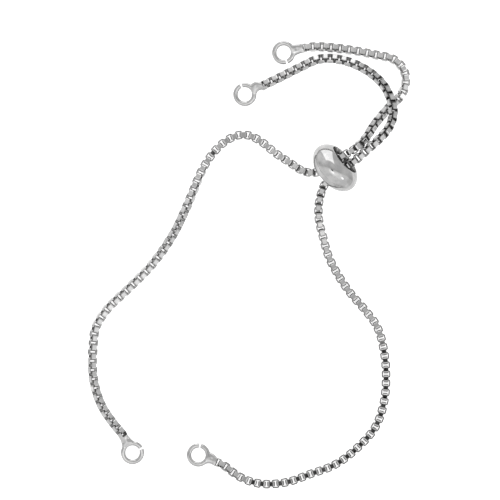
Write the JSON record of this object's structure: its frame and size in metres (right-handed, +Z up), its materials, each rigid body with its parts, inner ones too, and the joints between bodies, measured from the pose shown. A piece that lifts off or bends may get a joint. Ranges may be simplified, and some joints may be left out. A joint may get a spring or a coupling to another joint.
{
  "type": "slider chain bracelet",
  "caption": "Slider bracelet of rounded box chain in polished steel, drawn side by side through a smooth slider bead, with open jump rings soldered to the chain ends.",
  "frame": {"origin": "middle of the base of the whole object's box, on the surface that the bracelet lies on", "axes": "+Z up from that surface, +Y along the longest side towards the crossed tails above the bead, +X towards the bead's side"},
  "size_m": [0.0547, 0.0761, 0.009],
  "materials": {
    "chain_steel": "polished",
    "ring_steel": "polished",
    "bead_steel": "mirror",
    "plug_rubber": "matt"
  },
  "bodies": {
    "root": {"chain_left": "chain_steel", "chain_right": "chain_steel", "ring_lower_left": "ring_steel", "ring_lower_right": "ring_steel", "ring_upper_right": "ring_steel", "ring_upper_left": "ring_steel", "slider_bead": "bead_steel", "grip_plug": "plug_rubber"}
  },
  "joints": []
}
